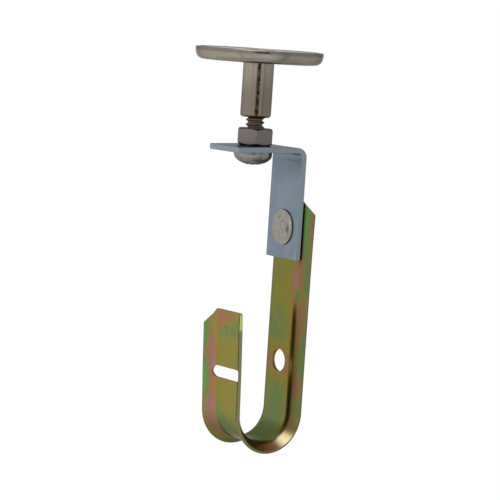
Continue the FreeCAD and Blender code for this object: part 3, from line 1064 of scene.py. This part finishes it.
# %% [markdown]
# ## The hook
#
# The hook is one long strip with both edges flared away from the throat, so that cables
# rest on rounded shoulders. Across the strip its section is a flat web, an arc and a
# sloping edge, and along it the strip goes down the long arm, round the turn and up the
# short arm. One function of the flat place (s, y) gives both.

# %% Hook's section and path
WEB_CORNER = 7.2
FLARE_REACH = 3.9
FLARE_ANGLE = np.radians(35.3)
TOP_OPENING, TOP_FADE = 0.75, 14.0
SHORT_ARM_TWIST = 0.035
FLARE_ROUND = 5.0
THROAT_RADIUS = 9.5
THROAT_DROP = 62.25
HOOK_RISE = 10.1
SHORT_ARM = 34.4
U_TURN = np.radians(177.5)
CORNER_CUT = 5.0

hook_x = LEG_OFFSET + BRACKET_SHEET - THROAT_RADIUS
hook_z = rivet_level - THROAT_DROP
long_arm = THROAT_DROP + HOOK_RISE
turn_run = THROAT_RADIUS * U_TURN
strip_length = long_arm + turn_run + SHORT_ARM
flare_half = WEB_CORNER + FLARE_REACH
shoulder = FLARE_ROUND * np.tan(FLARE_ANGLE / 2)
arc_start, arc_end = WEB_CORNER - shoulder, WEB_CORNER + shoulder * np.cos(FLARE_ANGLE)


def flare(y):
    """How far the section lies outwards of the web at y: nothing on the web, then the
    round's arc r (1 - cos), then a straight slope."""
    beyond = np.clip(np.abs(y) - arc_start, 0, arc_end - arc_start)
    arc = FLARE_ROUND - np.sqrt(FLARE_ROUND ** 2 - beyond ** 2)
    return arc + np.maximum(np.abs(y) - arc_end, 0) * np.tan(FLARE_ANGLE)


def hook_bend(s, y):
    """Down the long arm, round the turn about its centre, and up the leaning short arm.
    At its free top the long arm's flares open a little more, and the short arm is twisted."""
    up_flare = np.clip((np.abs(y) - WEB_CORNER) / FLARE_REACH, 0, 1)
    opening = TOP_OPENING * np.exp(-s / TOP_FADE) * up_flare
    twist = SHORT_ARM_TWIST * y * np.clip((s - long_arm - turn_run / 2) / turn_run, 0, 1)
    out = THROAT_RADIUS + flare(y) + opening + twist
    angle = np.clip(s - long_arm, 0, turn_run) / THROAT_RADIUS
    before = np.maximum(long_arm - s, 0)
    after = np.maximum(s - long_arm - turn_run, 0)
    x = hook_x + out * np.cos(angle) - after * np.sin(angle)
    z = hook_z - out * np.sin(angle) + before - after * np.cos(angle)
    return np.stack([x, y, z], -1)


def flat_width(y):
    """How far y lies from the middle when the section is laid flat again."""
    y = np.abs(y)
    beyond = np.clip(y - arc_start, 0, arc_end - arc_start)
    on_arc = FLARE_ROUND * np.arcsin(beyond / FLARE_ROUND)
    return np.minimum(y, arc_start) + on_arc + np.maximum(y - arc_end, 0) / np.cos(FLARE_ANGLE)


blank_half = flat_width(flare_half)
cut_start = blank_half - CORNER_CUT


def left_after_cuts(s, y):
    """Both ends have their corners cut off at 45 degrees on the flat blank."""
    from_end = np.minimum(s, strip_length - s)
    return flat_width(y) <= cut_start + np.maximum(from_end, 0) + 1e-3


print("strip length", round(strip_length, 1), "turn centre", round(hook_x, 2), round(hook_z, 2))

# %% Hook's blank
HOLE_DROP = 45.4
HOLE_RADIUS = 3.8
SLOT_RISE = 13.2
SLOT_HEIGHT = 4.05
SLOT_REACH = 8.2
# Half sizes of the windows that the grid leaves for the holes.
RIVET_ALONG, RIVET_ACROSS = 4.1, 4.65
HOLE_ALONG = 6.0
SLOT_ALONG, SLOT_ACROSS = 3.8, 8.9

probe = np.linspace(0, flare_half, 400)
cut_edge = np.interp(cut_start, flat_width(probe), probe)
half_across = merged([0, 0.8, 1.6, 2.4, 3.2, 3.9, RIVET_ACROSS, 5.3, cut_edge],
                     np.linspace(arc_start, arc_end, 13),
                     np.linspace(arc_end + 0.1, SLOT_ACROSS, 3),
                     np.linspace(SLOT_ACROSS, flare_half, 6))
hook_across = merged(-half_across, half_across)
cut_rows = flat_width(half_across[half_across >= cut_edge - 1e-3]) - cut_start
rivet_s, hole_s = HOOK_RISE, HOOK_RISE + HOLE_DROP
turn_end = long_arm + turn_run
slot_s = turn_end + SLOT_RISE
hook_along = merged(
    cut_rows, strip_length - cut_rows, rivet_s + evenly(RIVET_ALONG, 9),
    np.linspace(rivet_s + RIVET_ALONG, hole_s - HOLE_ALONG, 28), hole_s + evenly(HOLE_ALONG, 15),
    np.linspace(hole_s + HOLE_ALONG, long_arm, 9), np.linspace(long_arm, turn_end, 61),
    np.linspace(turn_end, slot_s - SLOT_ALONG, 8), slot_s + evenly(SLOT_ALONG, 11),
    np.linspace(slot_s + SLOT_ALONG, strip_length - CORNER_CUT, 12))
flat, faces = blank(hook_along, hook_across, [
    hole_at(rivet_s, RIVET_RADIUS, (RIVET_ALONG, RIVET_ACROSS)),
    hole_at(hole_s, HOLE_RADIUS, (HOLE_ALONG, arc_start)),
    hole_at(slot_s, SLOT_HEIGHT / 2, (SLOT_ALONG, SLOT_ACROSS), SLOT_REACH - SLOT_HEIGHT / 2),
], left_after_cuts)


def blank_width(flat):
    """The flat place (across, along) in mm, with the width measured along the section."""
    return np.stack([np.sign(flat[:, 1]) * flat_width(flat[:, 1]), flat[:, 0]], -1)


hook = formed_sheet("hook", flat, faces, hook_bend, HOOK_SHEET, 0.14, blank_width)
print("rows", hook_along.size, "columns", hook_across.size)

# %% [markdown]
# ## Yellow chromate
#
# The strip is zinc plated and dipped in a yellow chromate. The film is so thin that light
# is coloured by its thickness, like oil on water: green, olive, gold, pink and mauve come
# in turn as it grows. So the finish is one map of film thickness over the flat blank, made
# of noise and of the places where the film drained thicker or thinner: bends, edges, holes.

# %% Film colours, and patches of thicker and thinner film
# Painted light: the short arm's colour is scaled up by this much, standing in for brighter light on
# it.
SHORT_ARM_PAINTED_LIGHT = 1.26
# The film's thickness, as a share of the thickest, and the colour that is seen.
FILM = {
    0.00: (88, 142, 58), 0.12: (98, 126, 64), 0.24: (104, 118, 76), 0.36: (122, 122, 60),
    0.48: (134, 118, 56), 0.60: (140, 108, 66), 0.72: (146, 102, 88), 0.84: (142, 108, 110),
    0.93: (122, 118, 110), 1.00: (104, 116, 92),
}

# Along the strip, across it, half length, half width, and how much thicker the film is there.
# Across is negative on the near side, from the camera.
LONG_ARM_PATCHES = [
    (6.0, -9.6, 15.0, 1.4, -0.46),
    (8.0, -11.6, 16.0, 1.2, 0.20),
    (27.0, -7.6, 8.0, 2.4, 0.40),
    (32.5, -7.8, 1.6, 1.2, -0.50),
    (25.0, -11.6, 9.0, 1.6, -0.20),
    (30.0, -2.5, 8.0, 3.5, 0.08),
    (43.0, 1.0, 9.0, 6.5, -0.09),
    (42.0, -5.4, 9.0, 1.2, 0.18),
    (42.0, -9.0, 8.0, 2.4, 0.24),
    (53.0, -11.4, 8.0, 1.4, -0.22),
    (57.0, -6.2, 6.0, 2.0, 0.16),
    (54.5, 5.2, 5.5, 1.8, 0.14),
    (63.5, -9.6, 5.0, 2.4, 0.28),
    (76.0, 0.8, 14.0, 7.0, -0.17),
    (71.5, -10.4, 4.5, 1.5, -0.24),
    (74.0, -8.8, 4.0, 1.2, 0.26),
    (76.0, -9.6, 3.5, 2.6, 0.14),
    (87.0, -9.6, 5.0, 2.6, 0.34),
]
SHORT_ARM_PATCHES = [
    (101.0, 8.4, 12.0, 2.6, 0.36),
    (112.0, 11.4, 9.0, 2.0, -0.40),
    (121.0, 8.6, 9.0, 2.6, 0.36),
    (129.0, 11.6, 9.0, 1.4, -0.36),
    (97.5, 1.5, 3.2, 4.5, -0.14),
    (106.5, -1.0, 4.5, 5.5, 0.05),
    (124.0, 1.0, 5.0, 7.0, 0.04),
    (129.5, -3.0, 3.4, 3.6, -0.13),
    (129.0, 2.0, 2.4, 3.0, -0.08),
    (135.0, 1.0, 4.0, 7.5, 0.26),
    (131.0, 6.0, 4.0, 1.4, 0.16),
]


# %% Film thickness
def patch(tree, wide, far, spot):
    """An oval place, full at its middle and gone at its edge, times its change of thickness."""
    far_middle, wide_middle, half_length, half_width, change = spot
    along = (far - far_middle) / half_length
    across = (wide - wide_middle) / half_width
    return tree.smooth(along * along + across * across, 1.5, -0.1) * change


def film_thickness(tree, wide, far):
    """The film over the blank: noise, the patches, and more of it round the hole and slot."""
    drift = tree.noise(tree.join(wide, far * 0.55, 0.0), 0.16, 3.0, 0.5, 0.6)
    swirl = tree.noise(tree.join(wide, far * 0.6, 5.0), 0.36, 4.0, 0.6, 0.8)
    fine = tree.noise(tree.join(wide, far * 0.7, 9.0), 1.3, 3.0, 0.6)
    drawn = tree.noise(tree.join(wide * 1.4, far * 0.06, 2.0), 1.0, 2.0, 0.5)
    film = 0.38 + (drift - 0.5) * 0.26 + (swirl - 0.5) * 0.30 + (fine - 0.5) * 0.18
    film = film + (drawn - 0.5) * 0.14
    wide_here = wide + (swirl - 0.5) * 3.0 + (fine - 0.5) * 1.2
    far_here = far + (drift - 0.5) * 8.0 + (fine - 0.5) * 4.0
    for spot in LONG_ARM_PATCHES + SHORT_ARM_PATCHES:
        film = film + patch(tree, wide_here, far_here, spot)
    along = far - hole_s
    from_hole = (wide * wide + along * along) ** 0.5
    film = film + tree.smooth(from_hole, 8.5, 3.8) * 0.16
    slot_along, slot_across = tree.size(far - slot_s), tree.most(tree.size(wide) - 6.2, 0.0)
    from_slot = (slot_along * slot_along + slot_across * slot_across) ** 0.5
    return film + tree.smooth(from_slot, 4.6, 2.1) * 0.14


# %% Chromate on the hook
def chromate(tree):
    """The film's colour by its thickness: duller on the flares, with painted shadow beside the
    bracket and painted shade along the near flare's bend, painted light over the short arm,
    pale where it was cut, a painted glint on the cut corners near the ends, and a painted
    highlight on the flares in the turn."""
    place = tree.node("ShaderNodeUVMap", {"uv_map": "blank"})
    place = tree.vector("SCALE", {0: place, "Scale": MAP_MM})
    wide, far, _ = tree.parts(place)
    grain = tree.noise(place, 2.6, 3.0, 0.6)
    from_middle = tree.size(wide)
    on_flare = tree.smooth(from_middle, 7.2, 8.8)
    # Painted shadow of the bracket's leg on the flare beside it.
    painted_bracket_shadow = tree.band(wide, -8.0, 1.5) * tree.smooth(far, 24.0, 18.0)
    # Painted shade along the near flare's bend.
    painted_bend_shade = tree.band(wide, -8.2, 2.6) * tree.band(far, 60.0, 30.0)
    colour = tree.tint(
        tree.ramp(film_thickness(tree, wide, far), FILM),
        (on_flare * 0.20, (112, 108, 88)),
        (tree.most(painted_bracket_shadow * 0.9, painted_bend_shade * 0.5), (72, 44, 20)))
    # Painted light over the short arm.
    short_arm_painted_light = tree.vector("SCALE", {0: colour, "Scale": SHORT_ARM_PAINTED_LIGHT})
    colour = tree.mix(tree.smooth(far, 96.0, 104.0), colour, short_arm_painted_light)
    from_end = tree.least(far, strip_length - far)
    to_cut = (from_end + cut_start - from_middle) * np.sqrt(0.5)
    to_edge = tree.least(tree.least(blank_half - from_middle, to_cut), from_end)
    sheared = tree.smooth(to_edge, 0.10, 0.03)
    # Painted glint on the cut corners near the ends.
    painted_glint_near_end = tree.smooth(from_end, CORNER_CUT + 0.6, CORNER_CUT - 0.4)
    # Painted highlight on the flares in the turn.
    painted_highlight = on_flare * tree.band(far, 81.0, 6.0) * tree.smooth(grain, 0.3, 0.6)
    colour = tree.tint(
        colour,
        (sheared * 0.8, (134, 133, 102)),
        (sheared * painted_glint_near_end * 0.8, (150, 160, 102)),
        (painted_highlight * 0.5, (174, 144, 142)))
    return colour, 0.20 + grain * 0.10 + on_flare * 0.05 + sheared * 0.25, grain


dress(hook, "j_hook", metal("yellow_chromate", chromate, 0.006))
